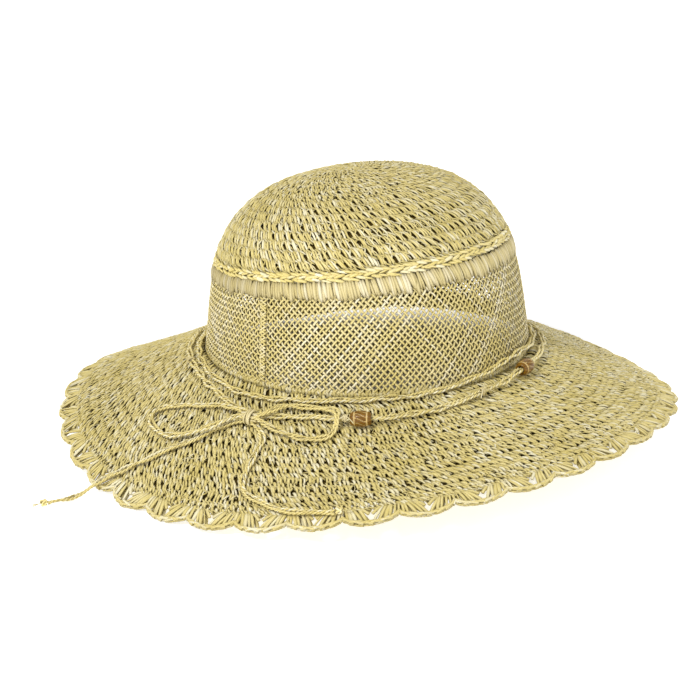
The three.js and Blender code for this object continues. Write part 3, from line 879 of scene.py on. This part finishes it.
def side_seam():
    """The overlapped ends of the panel, held by slanted stitches."""
    straw = Straw()
    azimuth = np.radians(SEAM_AZIMUTH)
    low, high = reach_of(BASE_HEIGHT), reach_of(PANEL_HEIGHT)
    rows = 22
    u = np.linspace(-1, 1, 7)[None]
    middle = np.linspace(low + 1 * MM, high - 1 * MM, rows)[:, None] + wobble(rows, 7, 0.2 * MM)
    for way in (-1, 1):
        across = azimuth + u * 1.9 * MM / CROWN_RADIUS * np.ones((rows, 1))
        lift = 0.25 * MM + 0.5 * MM * (1 - u**2)
        reach = middle + way * u * 1.2 * MM
        straw.lay_on(crown_surface, across, reach, lift, 1.0 * MM, 0.55 * MM, sides=5)
    straw.build("side_seam", "hat", WOVEN_STRAW, ["side_seam"])


def base_round():
    """The tight round where the wall turns into the brim."""
    straw = Straw()
    count = 150
    low, high = reach_of(0.0), reach_of(BASE_HEIGHT)
    u = np.linspace(0, 1, 7)[None]
    azimuth = np.arange(count)[:, None] * TURN / count + wobble(count, 7, 0.003)
    reach = low - 0.4 * MM + (high - low) * u
    for side in (-1, 1):
        lift = -1.5 * MM + 0.6 * MM * np.sin(np.pi * u) * np.ones((count, 1))
        leg = azimuth + side * (0.35 - 0.2 * u) * TURN / count
        # A little painted shade on the legs, more on their undersides.
        straw.lay_on(crown_surface, leg, reach, lift, 2.0 * MM, 1.2 * MM, depth=0.1)
    straw.build("base_round", "hat", CROCHET_STRAW, ["base_round"])
    shade_sheet("base_round_shade_sheet", crown_surface, low, high, -1.6 * MM, "base_round")


# ---- Joining stitches and chain ----
def join_stitching():
    """Long stitches side by side, upright at the seam and slanted further round."""
    straw = Straw()
    count = 350
    spread = TURN / count
    low = reach_of(PANEL_HEIGHT + STITCH_FOOT)
    high = reach_of(PANEL_HEIGHT + STITCH_HEIGHT) + 0.8 * MM
    u = np.linspace(0, 1, 8)[None]
    arch = np.sin(np.pi * np.clip(u, 0.02, 0.98)) ** 0.55
    middle = np.arange(count)[:, None] * spread + wobble(count, 1, 0.16 * spread)
    lean = 0.7 + 0.9 * np.sin(middle - np.radians(SEAM_AZIMUTH)) + wobble(count, 8, 0.35)
    azimuth = middle - spread * lean * (u - 0.5)
    foot = low + rng.normal(-0.5, 0.8, (count, 1)) * MM
    reach = foot + (high + wobble(count, 8, 0.4 * MM) - foot) * u
    lift = -0.75 * MM + 1.0 * MM * arch + wobble(count, 8, 0.2 * MM)
    width = 2.2 * MM * (0.6 + 0.4 * arch) * (1 + wobble(count, 8, 0.18))
    left_of_seam = 0.5 + 0.5 * np.tanh(6 * np.sin(np.radians(SEAM_AZIMUTH + 2) - middle))
    # Painted shade at the stitches' ends, where they dip in; the stitches left of the seam are also darker
    # all along.
    depth = 0.4 * (1 - arch) * (1 - 0.3 * left_of_seam) + 0.25 * left_of_seam
    straw.lay_on(crown_surface, azimuth, reach, lift, width, 1.0 * MM, depth=depth, under=1.0)
    behind = azimuth + 0.5 * spread  # a second layer, which fills the gaps between the stitches
    # The second layer is mixed well towards the gap colour: painted shade.
    straw.lay_on(crown_surface, behind, reach, -1.2 * MM, 1.9 * MM, 0.7 * MM, sides=5, depth=0.45)
    straw.build("join_stitching", "hat", STITCH_STRAW, ["join_stitching"])
    shade_sheet("join_stitching_shade_sheet", crown_surface, low, high, -1.7 * MM, "join_stitching")


def crown_chain():
    """A braid: three rows of slanted loops, the middle one slanted the other way, over plain rings."""
    straw = Straw()
    count = 132
    low = reach_of(PANEL_HEIGHT + STITCH_HEIGHT + 0.6 * MM)
    high = low + CHAIN_HEIGHT
    centre = (low + high) / 2
    spread = TURN / count
    u = np.linspace(0, 1, 7)[None]
    arch = np.sin(np.pi * np.clip(u, 0.02, 0.98)) ** 0.6
    ring = np.linspace(0, TURN, 160, endpoint=False)[None]
    for out in (-1.6, 0.0, 1.6):
        reach = centre + out * MM
        # The plain rings underneath get painted shade.
        straw.lay_on(crown_surface, ring, reach, -1.15 * MM, 1.9 * MM, 0.8 * MM, closed=True, depth=0.3)
    for row, side in ((-1.5, -1), (0.1, 1), (1.6, -1)):
        middle = (np.arange(count) + rng.random())[:, None] * spread + wobble(count, 1, 0.14 * spread)
        azimuth = middle + spread * (1.5 * u - 0.3)
        reach = centre + (row + side * 0.7 * (2 * u - 1) + wobble(count, 7, 0.3)) * MM
        lift = -0.8 * MM + 0.95 * MM * arch + wobble(count, 7, 0.15 * MM)
        width = 1.7 * MM * (0.7 + 0.3 * arch) * (1 + wobble(count, 7, 0.2))
        # Painted shade at the ends of the loops.
        depth = 0.15 * (1 - arch) * np.ones((count, 1))
        straw.lay_on(crown_surface, azimuth, reach, lift, width, 0.6 * width, depth=depth)
    straw.build("crown_chain", "hat", CROCHET_STRAW, ["crown_chain"])
    shade_sheet("crown_chain_shade_sheet", crown_surface, low, high, -1.7 * MM, "crown_chain")


# ---- Scalloped edge ----
def scallop_edging():
    """A last round of stitches, then shells: fans of strands with a chain along the rim."""
    straw = Straw()
    base = ROUNDS_WIDTH + 4.6 * MM
    top = CROCHET / 2 - 0.2 * MM
    crochet_round(straw, brim_surface, ROUNDS_WIDTH, base, 4.3 * MM, top, SHORT_LEGS)
    shell = TURN / SCALLOPS
    posts = 11
    middle = (np.arange(SCALLOPS)[:, None] + 0.5) * shell
    u = np.linspace(0, 1, 7)[None]
    arch = np.sin(np.pi * u)
    for lift_at, outward, offset in ((0.75 * MM, 1, 0.0), (-0.75 * MM, -1, 0.5)):
        for k in range(posts):
            place = (k + offset - (posts - 1) / 2) / (posts - 1)
            end = middle + shell * 0.92 * place + wobble(SCALLOPS, 1, 0.02 * shell)
            begin = middle + shell * 0.5 * place + wobble(SCALLOPS, 1, 0.02 * shell)
            azimuth = begin + (end - begin) * u**0.8
            rim = BRIM_WIDTH - scallop_depth(end) - 1.4 * MM
            out = base - 0.8 * MM + (rim - base + 0.8 * MM) * u
            lift = lift_at + outward * 0.35 * MM * arch + wobble(SCALLOPS, 7, 0.12 * MM)
            width = 1.85 * MM * (0.75 + 0.25 * arch) * (1 + wobble(SCALLOPS, 7, 0.2))
            # Painted shade where the posts dip into the last round, and on their undersides.
            depth = 0.3 * (1 - arch**0.5) * np.ones((SCALLOPS, 1))
            straw.lay_on(brim_surface, azimuth, out, lift, width, 1.0 * MM, depth=depth, under=0.8)
    rim_chain(straw)
    valley_stitches(straw, base)
    straw.build("scallop_edging", "hat", CROCHET_STRAW, ["scallop_edging"])


def rim_chain(straw):
    """Links along the scalloped rim."""
    links = SCALLOPS * 6
    spread = TURN / links
    u = np.linspace(0, 1, 7)[None]
    start = np.arange(links)[:, None] * spread
    for side in (-1, 1):
        azimuth = start + spread * (1.5 * u - 0.25)
        rim = BRIM_WIDTH - scallop_depth(azimuth) - 1.1 * MM
        out = rim + side * 0.75 * MM * (2 * u - 1) + wobble(links, 7, 0.15 * MM)
        lift = 0.35 * MM + 0.55 * MM * np.sin(np.pi * u) + wobble(links, 7, 0.12 * MM)
        for face in (-1, 1):
            # A little painted shade, more on the links' undersides.
            straw.lay_on(brim_surface, azimuth, out, face * lift, 1.5 * MM, 1.3 * MM, depth=0.05, under=0.8)


def valley_stitches(straw, base):
    """The short stitches that tie each valley down to the last round."""
    shell = TURN / SCALLOPS
    valley = np.arange(SCALLOPS)[:, None] * shell
    u = np.linspace(0, 1, 7)[None]
    rim = BRIM_WIDTH - SCALLOP_DEPTH - 1.0 * MM
    for side in (-1, 1):
        azimuth = valley + side * shell * (0.20 - 0.17 * u)
        out = base - 0.8 * MM + (rim - base) * u * np.ones((SCALLOPS, 1))
        lift = 0.5 * MM + 0.5 * MM * np.sin(np.pi * u)
        # A little painted shade on these stitches.
        straw.lay_on(brim_surface, azimuth, out, lift, 1.9 * MM, 1.1 * MM, depth=0.1)


# ---- Floor and light ----
def studio():
    """A plain white floor that glows a little, except under the hat, and soft light."""
    mesh = bpy.data.meshes.new("floor")
    half = 12.0
    corners = [(-half, -half, 0), (half, -half, 0), (half, half, 0), (-half, half, 0)]
    mesh.from_pydata(corners, [], [(0, 1, 2, 3)])
    floor = bpy.data.objects.new("floor", mesh)
    bpy.context.scene.collection.objects.link(floor)
    n = Nodes("floor_white")
    n.shader.inputs["Base Color"].default_value = (0.93, 0.93, 0.93, 1)
    n.shader.inputs["Emission Color"].default_value = (1, 1, 1, 1)
    shade_centre, shade_radius, glow_radius = (0, 0.05, 0), 0.145, 0.175
    glow = n.fade(n.distance_from(shade_centre), shade_radius, glow_radius)
    n.link(n.multiply(glow, 0.7), n.shader.inputs["Emission Strength"])
    n.shader.inputs["Roughness"].default_value = 0.9
    mesh.materials.append(n.material)

    world = bpy.data.worlds.new("studio")
    bpy.context.scene.world = world
    world.use_nodes = True
    world.node_tree.nodes["Background"].inputs["Color"].default_value = (1, 1, 1, 1)
    world.node_tree.nodes["Background"].inputs["Strength"].default_value = 0.62

    lamps = (
        ("key", (-0.9, -1.3, 1.7), 0.5, 29.0),
        ("fill", (1.5, -0.9, 1.0), 1.2, 5.0),
        ("back", (0.3, 1.6, 1.8), 0.9, 5.0),
    )
    aim = Vector((0, 0, 0.06))
    for name, place, size, power in lamps:
        data = bpy.data.lights.new(name, "AREA")
        data.size, data.energy = size, power
        lamp = bpy.data.objects.new(name, data)
        bpy.context.scene.collection.objects.link(lamp)
        lamp.location = place
        lamp.rotation_euler = (aim - lamp.location).to_track_quat("-Z", "Y").to_euler()
    bpy.context.scene.view_settings.view_transform = "Standard"


bow()
band()
bow_knot()
for tie_name, tie_azimuth in TIE_PLACES.items():
    tie(tie_name, tie_azimuth)
for bead_name, bead_azimuth in BEAD_PLACES.items():
    bead(bead_name, bead_azimuth)
dome()
crown_chain()
join_stitching()
side_panel()
side_seam()
base_round()
brim()
scallop_edging()
studio()
